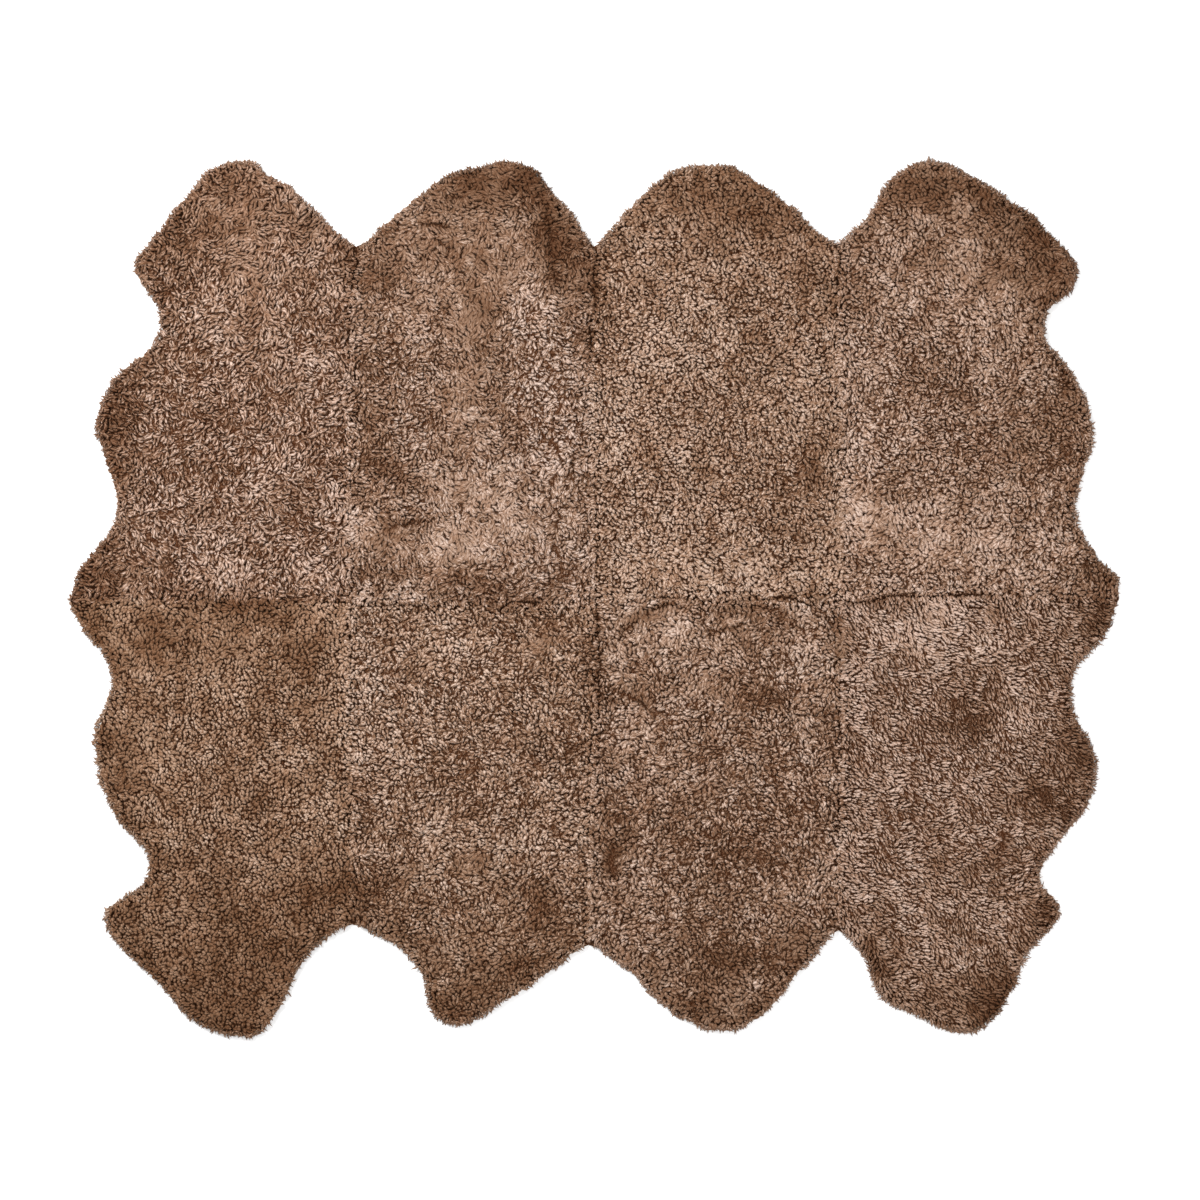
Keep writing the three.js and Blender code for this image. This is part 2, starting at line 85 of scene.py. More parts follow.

# Lighter and darker patches of the wool, in millimetres from the rug's middle: the half widths along and
# across the heading, a tone that darkens below 0, how smoothly the wool there is brushed down, and how much
# deeper the cracks between its clumps are, with their painted shade.
Patch = namedtuple("Patch", "x y along across heading tone brush crack", defaults=(0, 0))
PATCHES = [Patch(*row) for row in (
    (-880, 709, 95, 60, 60, -0.9),
    (-999, 373, 100, 45, 80, -1.1),
    (-1041, 50, 60, 55, 0, -1.1),
    (-767, 863, 55, 35, 0, -0.5),
    (-893, 64, 60, 50, 90, -0.4),
    (-473, 674, 65, 45, 110, -1.2, 0.3),
    (-662, 288, 60, 50, 0, 0.6),
    (-720, 700, 140, 50, 95, -0.15, 0.6),
    (-557, 480, 80, 60, 60, 0.5),
    (-725, 92, 150, 42, 0, 0.5),
    (-529, 176, 70, 45, 90, 0.5),
    (-228, 868, 120, 45, 10, -1.6, 0.8),
    (-86, 775, 125, 38, 110, -1.8, 0.5),
    (-277, 765, 90, 30, 0, -0.4, 0.3),
    (-473, 401, 110, 42, 90, -0.7, 0.1),
    (-431, 260, 100, 45, 0, -0.75, 0.1),
    (-193, 400, 85, 22, 90, -0.5, 0.2),
    (-4, 646, 110, 26, 92, -0.8),
    (-249, 22, 90, 20, 0, -0.9, 0.3),
    (-288, 98, 88, 52, 0, 0.25, 1),
    (-170, 135, 100, 75, 0, 0.15, 0.5),
    (-258, 600, 105, 48, 85, -0.55, 0.9),
    (-240, 720, 180, 110, 0, -0.2, 0.7),
    (-270, 410, 120, 50, 90, -0.4, 0.65),
    (-265, 225, 75, 60, 0, 0.05, 0.75),
    (-435, 108, 62, 44, 0, -0.35, 0.8),
    (-270, 735, 75, 30, 0, -0.25, 0.6),
    (-390, 440, 110, 55, 90, 0, 0, 0.5),
    (-135, 560, 165, 42, 95, 0.6, 0, 1.5),
    (-100, 380, 190, 55, 95, 0.5, 0, 1.5),
    (-400, 590, 90, 45, 20, 0.2, 0.2),
    (-165, 232, 140, 55, 10, 0.1, 0.4),
    (-39, 148, 50, 24, 90, 0.8, 0.4),
    (-25, 232, 34, 26, 90, -0.7, 0.3),
    (269, 845, 150, 62, 0, -1, 0.2),
    (374, 793, 65, 45, -30, -0.8, 0.2),
    (31, 569, 85, 22, 90, -0.6),
    (318, 470, 60, 38, 90, -0.4),
    (430, 235, 100, 70, 70, -0.55, 0, 0.5),
    (475, 300, 210, 34, 90, -0.45, 0.3),
    (547, 300, 200, 34, 90, 0.3, 0.1),
    (230, 62, 190, 40, 0, 0.25, 0.4),
    (689, 856, 90, 48, 0, -1.2, 0.2),
    (941, 709, 105, 75, -45, -1.6, 0.3),
    (843, 828, 65, 36, -35, -1.2, 0.2),
    (521, 597, 55, 48, 90, -0.6),
    (969, 345, 85, 52, 90, -0.8),
    (1060, 64, 55, 55, 0, -1.2),
    (800, 430, 190, 150, 0, -0.2),
    (577, 162, 80, 62, 0, 0.15, 0.8),
    (740, 120, 180, 60, 0, 0.45, 0.5),
    (556, 492, 65, 55, 0, 0.7, 0.1),
    (-710, -25, 150, 30, 0, -0.9, 0.5),
    (-620, -118, 50, 38, 60, -0.9, 0.3),
    (-985, -370, 110, 50, 90, -0.6, 0.4),
    (-960, -95, 130, 75, 0, -0.55, 0.7),
    (-547, -85, 25, 80, 0, 0.1, 0.4),
    (-850, -570, 110, 70, 60, -0.3),
    (-800, -720, 250, 190, 0, -0.6),
    (290, -38, 75, 25, 0, -0.4, 0.6),
    (105, -225, 45, 22, -50, -0.5, 0.7),
    (105, -35, 75, 16, 25, -0.6, 0.9),
    (85, -185, 40, 22, 0, -0.4, 0.6),
    (248, -197, 75, 28, 0, -0.5, 0.6),
    (323, -215, 50, 35, 30, -0.9, 0.3),
    (464, -265, 45, 40, 0, -0.6, 0.2),
    (245, -385, 60, 25, 25, -0.4, 0.4),
    (49, -480, 50, 40, 80, -0.6, 0.2),
    (120, -300, 90, 50, 90, 0.1, 0.2),
    (-480, -270, 90, 40, 90, 0.35),
    (-370, -140, 80, 40, 35, 0.1),
    (-330, -330, 55, 22, 90, -0.5, 0.2),
    (-150, -250, 60, 25, 90, 0.3),
    (700, -620, 130, 40, -10, 0.3),
    (-300, -700, 170, 120, 0, -0.3),
    (250, -500, 230, 150, 90, -0.5, 0, 0.3),
    (180, 380, 190, 120, 90, 0.2),
    (-557, -622, 75, 60, 60, -1.1),
    (-669, -748, 75, 62, 0, -0.7, 0.2),
    (-800, -850, 130, 52, -30, -0.7),
    (-515, -202, 65, 32, 90, 0.5),
    (-459, -622, 55, 48, 90, -0.9),
    (-115, -645, 70, 50, 60, -1, 0.25),
    (-137, -769, 75, 36, 35, -1),
    (-284, -846, 75, 46, 20, -1.2),
    (-249, -552, 45, 36, 0, -0.6, 0.6),
    (-107, -97, 48, 30, 0, -0.35, 0.7),
    (-109, -330, 75, 55, 90, -0.5),
    (-179, -13, 70, 22, -5, -0.8, 0.3),
    (-290, -104, 110, 45, 0, 0.45, 0.2),
    (-431, -426, 65, 28, 80, 0.5),
    (3, -160, 95, 20, 90, -0.9, 0.1),
    (45, -545, 60, 28, 85, -0.8, 0.2),
    (320, -548, 150, 34, -5, -0.7),
    (486, -482, 65, 32, 90, -0.7),
    (346, -76, 65, 45, 0, -0.5, 0.2),
    (380, -230, 90, 45, 0, -0.5),
    (157, -76, 70, 48, 60, 0.55, 0.5),
    (445, -100, 90, 36, 100, 0.7, 0.1),
    (300, -765, 140, 52, 0, -0.8),
    (255, -874, 115, 34, 0, -0.8),
    (768, -262, 68, 48, 80, -1.5, 0.1),
    (1015, -300, 115, 52, 90, -1.2, 0.2),
    (941, -426, 65, 60, 0, -1.1, 0.2),
    (1053, -48, 55, 52, 0, -1.3, 0.1),
    (843, -545, 55, 26, 80, -0.9, 0.3),
    (955, -664, 50, 34, 60, -0.8),
    (840, -840, 70, 60, 50, -1.5),
    (605, -755, 55, 45, 110, -0.8),
    (717, -846, 80, 40, 0, -0.5),
    (690, -85, 150, 55, 5, 0.95, 0.3),
    (715, -37, 38, 22, 0, 0.3, 0.8),
    (846, -40, 26, 22, 90, -0.6, 0.7),
    (520, -90, 48, 15, 90, -0.5, 0.6),
    (885, -258, 55, 28, 10, 0.5, 0.2),
    (640, -370, 45, 34, 120, 0.6, 0.1),
    (507, -524, 75, 26, 90, 0.5),
    (-815, 765, 70, 25, 60, -0.5, 0.2),
    (-975, 45, 90, 60, 0, -0.45, 0.3),
    (-715, 40, 150, 30, 0, 0.4, 0, 0.3),
    (820, 660, 150, 110, -30, -0.1, 0.35),
    (-622, 797, 35, 25, -50, -0.7, 0.2),
    (-735, 805, 75, 40, 0, 0, 0.6),
    (-790, -85, 180, 65, 0, -0.7, 0.5),
    (440, -28, 85, 24, 0, -0.5, 0.2),
    (150, -85, 160, 95, 0, 0, 0.4),
    (-740, 280, 240, 210, 0, 0, 0, 0.45),
    (-50, 300, 270, 95, 90, 0.1, 0, 0.6),
    (640, 330, 190, 130, 90, 0, 0, 0.4),
    (-290, -220, 240, 220, 0, -0.05, 0, 0.6),
    (390, -320, 170, 170, 0, 0, 0, 0.4),
    (730, -290, 200, 150, 0, -0.1, 0, 0.6),
)]

# Partings where the wool falls apart, darkened with painted shade: their ends, half width and depth, all in
# millimetres, the bow to the left of the way from end to end, and the tone of that painted shade.
Parting = namedtuple("Parting", "x1 y1 x2 y2 bow width depth tone")
PARTINGS = [Parting(*row) for row in (
    (-104, 500, -84, 440, 7, 4, 4, -0.7),
    (-66, 410, -92, 350, -7, 4, 4, -0.8),
    (-128, 380, -112, 320, 6, 4, 4, -0.7),
    (-98, 335, -72, 280, 6, 4, 4, -0.9),
    (-80, 262, -94, 200, -6, 4.5, 5, -1),
    (-118, 250, -102, 190, 6, 4, 4, -0.7),
    (-70, 195, -86, 140, 5, 5, 5, -1.1),
    (-92, 120, -74, 50, 7, 4.5, 4, -0.9),
    (-52, 300, -62, 230, 5, 4, 3, -0.6),
    (-440, 143, -333, 160, 8, 4.5, 5, -1.2),
    (-870, -7, -640, -9, 0, 8, 2.5, -0.6),
    (-640, -9, -262, -12, 0, 4, 2.5, -0.4),
    (-262, -12, -89, -16, 0, 6, 4, -0.8),
    (-89, -16, -2, -6, 0, 4, 3, -0.4),
    (-2, -6, 330, -6, 0, 4, 3, -0.5),
    (330, -6, 517, -6, 0, 5, 3.5, -0.8),
    (517, -6, 741, 2, 0, 5, 3.5, -0.8),
    (741, 2, 955, 0, 0, 5, 3.5, -0.8),
    (955, 0, 1085, -2, 0, 4, 3, -0.6),
    (-3, 737, -9, 500, 0, 6, 5, -0.9),
    (-2, -10, 2, -190, 2, 7, 3, -0.7),
    (-502, 730, -506, 640, 0, 5, 4, -0.6),
    (507, 735, 510, 640, 0, 6, 5, -0.9),
    (50, -85, 190, -18, 22, 8, 5, -0.9),
    (215, -45, 330, -40, 12, 7, 4, -0.6),
    (330, -20, 452, -95, 22, 7, 4, -0.6),
    (46, -500, 38, -590, -6, 9, 7, -1.2),
    (850, -480, 838, -572, 8, 7, 6, -1.1),
    (586, 136, 642, 104, 5, 4.5, 5, -1.1),
    (560, 175, 600, 160, 6, 4, 3, -0.6),
    (-371, 783, -301, 774, 4, 4.5, 5, -1.3),
    (-308, 837, -264, 835, -3, 4, 5, -1.1),
    (-341, 750, -305, 726, 4, 4, 5, -1.1),
    (-371, 709, -348, 711, 5, 4, 5, -1.1),
    (-114, 840, -84, 650, 8, 8, 5, -0.8),
    (203, -71, 310, -55, -6, 4.5, 5, -1.1),
    (12, -114, 45, -104, 5, 3, 4, -0.9),
    (22, -197, 122, -246, 14, 4, 6, -1.1),
    (190, -205, 262, -228, -8, 3, 4, -0.8),
    (300, -368, 323, -408, 4, 3, 4, -0.8),
    (508, 640, 519, 10, 0, 5, 1, -0.2),
    (-8, 500, -4, 20, 0, 5, 1, -0.2),
    (2, -200, -4, -700, 0, 5, 1, -0.2),
    (-515, -20, -517, -600, 0, 5, 1, -0.2),
    (510, -20, 515, -640, 0, 5, 1, -0.2),
)]

PARTED_SHARE = 0.6  # how far the roots move aside, as a share of a parting's depth
PARTED_STRENGTH = 0.7  # how strong a parting is apart from its breaks
PARTED_ENDS = 8  # how sharply it ends
PARTED_FALL = 2.5  # how far from it the wool still falls aside, in its widths
# In partings of this depth the locks are shorter by this share.
DEEP_PARTING = 5 * MM
PARTED_SHORTER = 0.45
# Towards the necks the wool is finer and more felted, from this far from the cross seam and over this much.
NECK_FROM = 520 * MM
NECK_LENGTH = 340 * MM

# Layers of noise over the rug: the width of their mounds in millimetres, what they come to, and their seed.
Layer = namedtuple("Layer", "across amount seed")
PATCH_DRIFT = (Layer(70, 20, 11), Layer(70, 20, 12))  # in millimetres along x and y
PARTING_WOBBLE = (Layer(24, 3, 21), Layer(80, 5, 23))  # in millimetres aside
PARTING_BREAKS = (Layer(45, 0.6, 22),)
RIM_RUFFLES = (Layer(42, 4.5, 61), Layer(19, 3, 62))  # in millimetres outwards
TONES = (Layer(110, 0.15, 6), Layer(55, 0.36, 1), Layer(24, 0.46, 4))
SWIRLS = (Layer(130, 80, 2), Layer(40, 55, 3))  # in degrees
MATTING = (Layer(48, 1, 5),)

# What changes the locks on top of a pelt, and by how much: their tone, their turn and how far they stray from
# it in degrees, their lift in millimetres, and as shares their tilt, length, width and curl, the cracks
# between their clumps and how evenly they are felted.
Effect = namedtuple("Effect", "tone turn stray lift tilt length width curl crack even", defaults=[0] * 10)
CLUMP = Effect(tone=0.38, turn=85, lift=1.2)  # from clump to clump
EACH = Effect(tone=0.12, stray=20, lift=1.1, tilt=0.12, length=0.22, width=0.12)  # from lock to lock
# The cracks between clumps lie lower and are darkened with painted shade.
CRACK = Effect(tone=-1, lift=-3)  # in the cracks between clumps
MATTED = Effect(crack=-0.6, even=0.4)  # where the noise mats the wool
NECK = Effect(crack=-0.5, even=0.65)  # towards the necks
CRACKED = Effect(crack=0.7, even=-0.6)  # in patches with deeper cracks
# Brushing takes these shares from what the others do, and adds to the length and width.
BRUSH = Effect(
    tone=-1, turn=-0.5, stray=-0.8, lift=-0.9, tilt=-0.7, length=0.5, width=0.3, curl=-0.6, crack=-1
)
SIZE_RANGE = (0.5, 1.6)  # shares of the usual length of a lock
WIDTH_RANGE = (0.7, 1.4)
CURL_RANGE = (0.6, 1.3)
BEND_TOGETHER = 0.7  # how far the locks of a clump bend the same way
BEND_ALONE = 0.5
GATHER = 0.3  # how far they lean out from its middle
PARTED_LEAN = 1.5  # how far locks lean away from a parting
LEAST_EVEN = -0.45
# Near a free edge the locks lean outwards and are darker, and near a seam they are fluffed up.
EDGE_LEAN = 1.6
EDGE_LEAN_WIDTH = 30 * MM
EDGE_TONE = -0.5
EDGE_TONE_WIDTH = 42 * MM
SEAM_FLUFF = 5 * MM
SEAM_FLUFF_WIDTH = 16 * MM
SUNK_SHARE = 0.1  # how far a lock sinks into the wool, as a share of its length
LOWEST_LOCK = 5 * MM  # its height over the floor
LOWEST_ROOT = 2.5 * MM
LOWEST_WOOL = 0.3 * MM

CRACK_WIDTH = 6 * MM
# How unevenly clumps, locks and the corners of sheets are spread, as shares of their spacing.
CLUMP_JITTER = 1.1
LOCK_JITTER = 0.95
SHEET_JITTER = 0.4
CLUMP_SEED = 50
RIM_SEED = 100

# Sizes of the solids that the dressing keeps to, in metres.
HIDE_INSET = 8 * MM  # from the wool's reach to the cut edge of the hide
SEWN_WITHIN = 1 * MM  # two hides whose edges are nearer than this are sewn together
FLAT_WITHIN = 0.1 * MM  # faces no higher than this are a solid's underside

# One lock of wool, a spindle from its root to its tip: each ring's place ahead and aside of the lock's middle
# and over the wool's surface as shares of its length (the root lies a depth of its own below), its half width
# as a share of the lock's, how far along the lock it is, and how light its crest and its flanks are, from 0
# in the wool's depth to 1 at its lightest. That lightness is painted shade: the root darkest and the flanks
# darker than the crest, so that dark outlines lie between the locks.
Ring = namedtuple("Ring", "ahead aside over wide along crest flank")
ROOT = Ring(-0.38, 0.0, 0.0, 0.0, 0.0, 0.1, 0.1)
BACK = Ring(-0.3, -0.18, -0.1, 1.0, 0.35, 0.66, 0.54)
CROWN = Ring(0.17, 0.04, 0.05, 0.95, 0.7, 0.78, 0.58)
TIP = Ring(0.5, 0.5, -0.36, 0.0, 1.0, 0.62, 0.62)
RINGS = (ROOT, BACK, CROWN, TIP)
LOCK_SIDES = 3
LOCK_THICKNESS = 0.6  # as a share of its width
TONE_STEP = 0.2  # how much lighter the wool is for each whole tone
DARKEST_TONE = -2.1  # below this its fibres would no longer show
# The pile's floor is painted dark as the shade deep between the locks.
PILE_FLOOR_PAINTED_SHADE = 0.14
# Brushed or felted wool loses some of the rings' painted shade and comes nearer this even lightness.
EVEN_LIGHT = 0.64  # the light that brushed or felted wool has all over
EVEN_SHARE = 0.85  # how far it is evened out at the most

# Rows of locks that hang out over a free edge: height and inset of their roots and their length in
# millimetres, the tilt up from level in degrees, and their spacing in millimetres.
RimRow = namedtuple("RimRow", "height inset length tilt spacing")
RIM_ROWS = (
    RimRow(3.2, 7.5, 13, -4, 5.0),
    RimRow(8.0, 8.5, 14, 8, 4.5),
    RimRow(13.5, 10.5, 15, 24, 4.8),
    RimRow(18.0, 13.0, 14, 40, 6.0),
)
# How much the locks of a rim row differ: their inset in millimetres, how far they sway aside, their tilt in
# degrees, their size and their tone.
RimSpread = namedtuple("RimSpread", "inset sway tilt size tone")
RIM_SPREAD = RimSpread(1.4, 1.1, 12, 0.28, 0.25)
RIM_TONE = -0.15
RIM_LOCK_WIDTH = 0.38  # as a share of the width of a lock on top
RIM_ROOT_DEPTH = 1 * MM
RIM_CURLS = (0.1, 0.8)
RIM_EVEN = 0.2

# The pile's floor under the locks: how far it stops short of a free edge, the width of its triangles, how far
# it stays over the hide, its depth as a share of the wool's, and the width of its fibres' pattern.
PILE_INSET = 2 * MM
PILE_SPACING = 22 * MM
PILE_OVER_HIDE = 0.5 * MM
PILE_DEPTH_SHARE = 0.75
PILE_PATTERN = 20 * MM
HIDE_SPACING = 40 * MM  # the width of a hide's triangles

# The baked picture: the locks take this share of its height, each in a cell with a margin, and the pile's
# floor takes a strip over them.
LOCK_SHARE = 0.94
CELL_MARGIN = 0.06
STRIP_CORNER = (0.005, LOCK_SHARE + 0.001)
STRIP_SIZE = (0.99, 0.98 * (1 - LOCK_SHARE))


def length_property(name, description, default):
    return bpy.props.FloatProperty(name=name, description=description, default=default, unit="LENGTH")


class RugSizes(bpy.types.PropertyGroup):
    """Sizes of the wool and the hides"""

    hide_thickness: length_property("Hide Thickness", "Thickness of the tanned skin under the wool", 2 * MM)
    wool_depth: length_property("Wool Depth", "How far below the wool's surface the locks part", 8 * MM)
    rim_width: length_property("Rim Width", "Where locks near a free edge start to lie outwards", 9 * MM)
    seam_overlap: length_property("Seam Overlap", "How far the wool grows over its seams", 3.5 * MM)
    floor_width: length_property("Floor Width", "Side of the plain floor", 40.0)


def colour_property(name, description, default):
    return bpy.props.FloatVectorProperty(
        name=name, description=description, default=default, subtype="COLOR", min=0, max=1
    )


class RugColours(bpy.types.PropertyGroup):
    """Colours of the wool, the hides and the floor"""

    # The darkest colour of the wool's lightness ramp: painted shade deep between and under the locks.
    depth: colour_property("Wool Depth", "Wool in the dark between the locks", (0.043, 0.0156, 0.006))
    light: colour_property("Light Wool", "The lightest tips of the wool", (0.512, 0.389, 0.322))
    suede: colour_property("Suede", "Bare skin on the underside", (0.5, 0.38, 0.27))
    floor: colour_property("Floor", "The plain floor", (0.9, 0.9, 0.9))


class Value:
    """A socket of a material's nodes. Arithmetic on it adds Math nodes."""

    def __init__(self, finish, socket):
        self.finish = finish
        self.socket = socket

    def maths(self, operation, *terms):
        return self.finish.node("ShaderNodeMath", {"operation": operation}, dict(enumerate(terms)))

    def __add__(self, other):
        return self.maths("ADD", self, other)

    def __sub__(self, other):
        return self.maths("SUBTRACT", self, other)

    def __rsub__(self, other):
        return self.maths("SUBTRACT", other, self)

    def __mul__(self, other):
        return self.maths("MULTIPLY", self, other)

    __radd__ = __add__
    __rmul__ = __mul__


class Finish:
    """A new material. node() adds any node to it, and blend() mixes two colours."""

    def __init__(self, name, **constants):
        self.material = bpy.data.materials.new(name)
        self.material.use_nodes = True
        self.tree = self.material.node_tree
        self.shader = self.tree.nodes["Principled BSDF"]
        self.set(**constants)

    def set(self, **values):
        """Sets or links the shader's sockets, whose names have _ for a space."""
        for name, value in values.items():
            self.plug(self.shader.inputs[name.replace("_", " ")], value)

    def plug(self, socket, value):
        if isinstance(value, Value):
            self.tree.links.new(value.socket, socket)
        else:
            socket.default_value = value

    def node(self, kind, settings, sockets, output=0):
        made = self.tree.nodes.new(kind)
        for name, setting in settings.items():
            if name == "stops":
                self.set_stops(made.color_ramp.elements, setting)
            else:
                setattr(made, name, setting)
        for name, value in sockets.items():
            self.plug(made.inputs[name], value)
        return Value(self, made.outputs[output])

    @staticmethod
    def set_stops(elements, stops):
        while len(elements) < len(stops):
            elements.new(1.0)
        for element, (place, colour) in zip(elements, stops):
            element.position = place
            element.color = colour

    def blend(self, factor, low, high, kind="MIX"):
        settings = {"data_type": "RGBA", "clamp_factor": True, "blend_type": kind}
        return self.node("ShaderNodeMix", settings, {0: factor, 6: low, 7: high}, output=2)

    def attribute(self, name):
        return self.node("ShaderNodeAttribute", {"attribute_name": name}, {}, output="Fac")

    def noise(self, vector, scale, detail):
        return self.node("ShaderNodeTexNoise", {}, {"Vector": vector, "Scale": scale, "Detail": detail})

    def bump(self, height, distance, strength=1.0):
        sockets = {"Height": height, "Distance": distance, "Strength": strength}
        return self.node("ShaderNodeBump", {}, sockets)


# The wool's fibres: how often their streaks repeat round and along a lock, how much their lightness differs,
# and how much of that brushing and felting take away.
FIBRE_STRETCH = (10.0, 3.4, 1.0)
FIBRE_CONTRAST = 2.45
FIBRE_EVENED = 0.55
RAMP_STOPS = 10
# The ramp's darkest end is painted shade; there the wool loses green and blue, redder as light bounced among
# its fibres would make it.
SHADE_COLOUR_LOSS = (0.35, 0.5, 0.66)  # how much of each colour the wool loses in its darkest depth
SHADE_COLOUR_FALL = 4  # how soon that ends towards the light
NOISE_MIDDLE = 0.5
# How far apart the locks lie in their fibres' pattern, in its repeats.
STRAND_SCATTER = 90
STRAND_SEED = 31
# The wool's hue drifts from rosy to olive in clouds, of which about this many fit in a metre.
HUE_CLOUDS = 28.0
ROSY = (1.0, 0.93, 0.88, 1.0)
OLIVE = (1.0, 1.07, 1.12, 1.0)
# The suede's darker clouds, and how much they and its nap vary it.
SUEDE_SHADE = (0.62, 0.56, 0.5)
CLOUD_CONTRAST = 1.6
NAP_CONTRAST = 0.5


def opaque(colour):
    return (*colour, 1.0)


def wool_finish(name, colours, growth):
    """Wool of one pelt: streaked along its fibres, and the redder the deeper its painted shade."""
    finish = Finish(name, Roughness=0.85, Specular_IOR_Level=0.06)
    depth, light = np.multiply(colours.depth, growth.tint), np.multiply(colours.light, growth.tint)
    stops = []
    for share in np.linspace(0, 1, RAMP_STOPS):
        warmed = 1 - np.multiply(SHADE_COLOUR_LOSS, (1 - share) ** SHADE_COLOUR_FALL)
        stops.append((share, opaque(depth * (light / depth) ** share * warmed)))
    strand = finish.node("ShaderNodeUVMap", {"uv_map": "strand"}, {})
    stretched = finish.node(
        "ShaderNodeVectorMath", {"operation": "MULTIPLY"}, {0: strand, 1: FIBRE_STRETCH}
    )
    fibre = finish.noise(stretched, scale=1.0, detail=3.0)
    lightness = finish.attribute("light") + finish.attribute("streak") * (fibre - NOISE_MIDDLE)
    brown = finish.node("ShaderNodeValToRGB", {"stops": stops}, {"Fac": lightness})
    places = finish.node("ShaderNodeTexCoord", {}, {}, output="Object")
    hue = finish.blend(finish.noise(places, HUE_CLOUDS, detail=2.0), ROSY, OLIVE)
    finish.set(
        Base_Color=finish.blend(1.0, brown, hue, "MULTIPLY"),
        Normal=finish.bump(fibre, distance=0.5 * MM, strength=0.7),
    )
    return finish.material


def suede_finish(name, colours):
    """Bare skin: mottled, with a fine nap."""
    finish = Finish(name, Roughness=0.9, Sheen_Weight=0.2, Sheen_Roughness=0.5)
    places = finish.node("ShaderNodeTexCoord", {}, {}, output="Object")
    cloud = finish.noise(places, scale=9.0, detail=5.0)
    nap = finish.noise(places, scale=700.0, detail=3.0)
    pale = opaque(colours.suede)
    brown = opaque(np.multiply(colours.suede, SUEDE_SHADE))
    paleness = 0.5 + CLOUD_CONTRAST * (cloud - NOISE_MIDDLE) + NAP_CONTRAST * (nap - NOISE_MIDDLE)
    finish.set(
        Base_Color=finish.blend(paleness, brown, pale),
        Normal=finish.bump(nap, distance=0.4 * MM, strength=0.6),
    )
    return finish.material


def floor_finish(name, colours):
    finish = Finish(name, Base_Color=opaque(colours.floor), Roughness=0.7)
    return finish.material


# Uneven factors that scatter whole numbers.
WAVES = (127.1, 311.7, 74.7)
WAVE_HEIGHT = 43758.5453


def scatter(i, j, seed):
    """Numbers from 0 to 1 that are always the same for the same whole numbers and seed."""
    wave = np.sin(i * WAVES[0] + j * WAVES[1] + seed * WAVES[2]) * WAVE_HEIGHT
    return wave - np.floor(wave)


def noise(places, across, seed):
    """Smooth noise from -1 to 1 over the floor, with mounds about as wide as across."""
    cell = places / across
    low = np.floor(cell)
    part = cell - low
    s, t = (part * part * (3 - 2 * part)).T
    i, j = low.T
    near = scatter(i, j, seed) * (1 - s) + scatter(i + 1, j, seed) * s
    far = scatter(i, j + 1, seed) * (1 - s) + scatter(i + 1, j + 1, seed) * s
    return 2 * (near * (1 - t) + far * t) - 1


def layered(places, layers, seed=0):
    """The sum of some layers of noise at each place."""
    return sum(each.amount * noise(places, each.across * MM, seed + each.seed) for each in layers)


def fade(away, reach):
    """From 1 where away is 0 to almost nothing at twice the reach."""
    return np.exp(-((away / reach) ** 2))


def unit(vectors):
    return vectors / np.maximum(np.linalg.norm(vectors, axis=-1, keepdims=True), 1e-9)


def heading_vectors(degrees):
    turn = np.radians(degrees)
    return np.stack([np.cos(turn), np.sin(turn)], -1)


def nearest(places, lines):
    """The nearest point to each place on any of the lines, and how far it is."""
    starts, ends = lines
    way = ends - starts
    share = ((places[:, None] - starts) * way).sum(-1) / (way**2).sum(-1)
    on = starts + np.clip(share, 0, 1)[..., None] * way
    gap = np.linalg.norm(places[:, None] - on, axis=-1)
    rows, best = np.arange(len(places)), gap.argmin(1)
    return on[rows, best], gap[rows, best]


def inside(loop, places):
    """Whether each place lies inside a closed outline."""
    a, b = loop, np.roll(loop, -1, 0)
    x, y = places.T[..., None]
    crosses = (a[:, 1] > y) != (b[:, 1] > y)
    rise = np.where(a[:, 1] == b[:, 1], 1.0, b[:, 1] - a[:, 1])
    return (crosses & (x < a[:, 0] + (b[:, 0] - a[:, 0]) * (y - a[:, 1]) / rise)).sum(1) % 2 == 1


def hide_loop(node):
    """The cut edge of a pelt's hide, anticlockwise: the outline of its solid's underside."""
    vertices = node.data.vertices
    after = {}
    for face in node.data.polygons:
        ring = [vertices[v].co for v in face.vertices]
        if max(corner.z for corner in ring) > FLAT_WITHIN:
            continue
        names = [(round(corner.x, 6), round(corner.y, 6)) for corner in ring]
        for a, b in zip(names, names[1:] + names[:1]):
            if after.get(b, {}).pop(a, None) is None:
                after.setdefault(a, {})[b] = True
    steps = {a: next(iter(ends)) for a, ends in after.items() if ends}
    loop = [min(steps)]
    while len(loop) < len(steps):
        loop.append(steps[loop[-1]])
    return np.array(loop[::-1])


class Outline:
    """The edges of one pelt: its hide's cut edge, which of its corners are free, and the wool's reach."""

    def __init__(self, name, loops):
        self.hide = loops[name]
        others = [loop for other, loop in loops.items() if other != name]
        sewn_to = np.concatenate(others), np.concatenate([np.roll(loop, -1, 0) for loop in others])
        self.free = nearest(self.hide, sewn_to)[1] > SEWN_WITHIN
        way = np.roll(self.hide, -1, 0) - np.roll(self.hide, 1, 0)
        self.out = unit(np.stack([way[:, 1], -way[:, 0]], 1))
        self.reach = self.hide + HIDE_INSET * self.out * self.free[:, None]
        loose = self.free | np.roll(self.free, -1)
        ends = np.roll(self.reach, -1, 0)
        self.free_lines = self.reach[loose], ends[loose]
        self.free_outs = self.out[loose], np.roll(self.out, -1, 0)[loose]
        self.seam_lines = self.reach[~loose], ends[~loose]


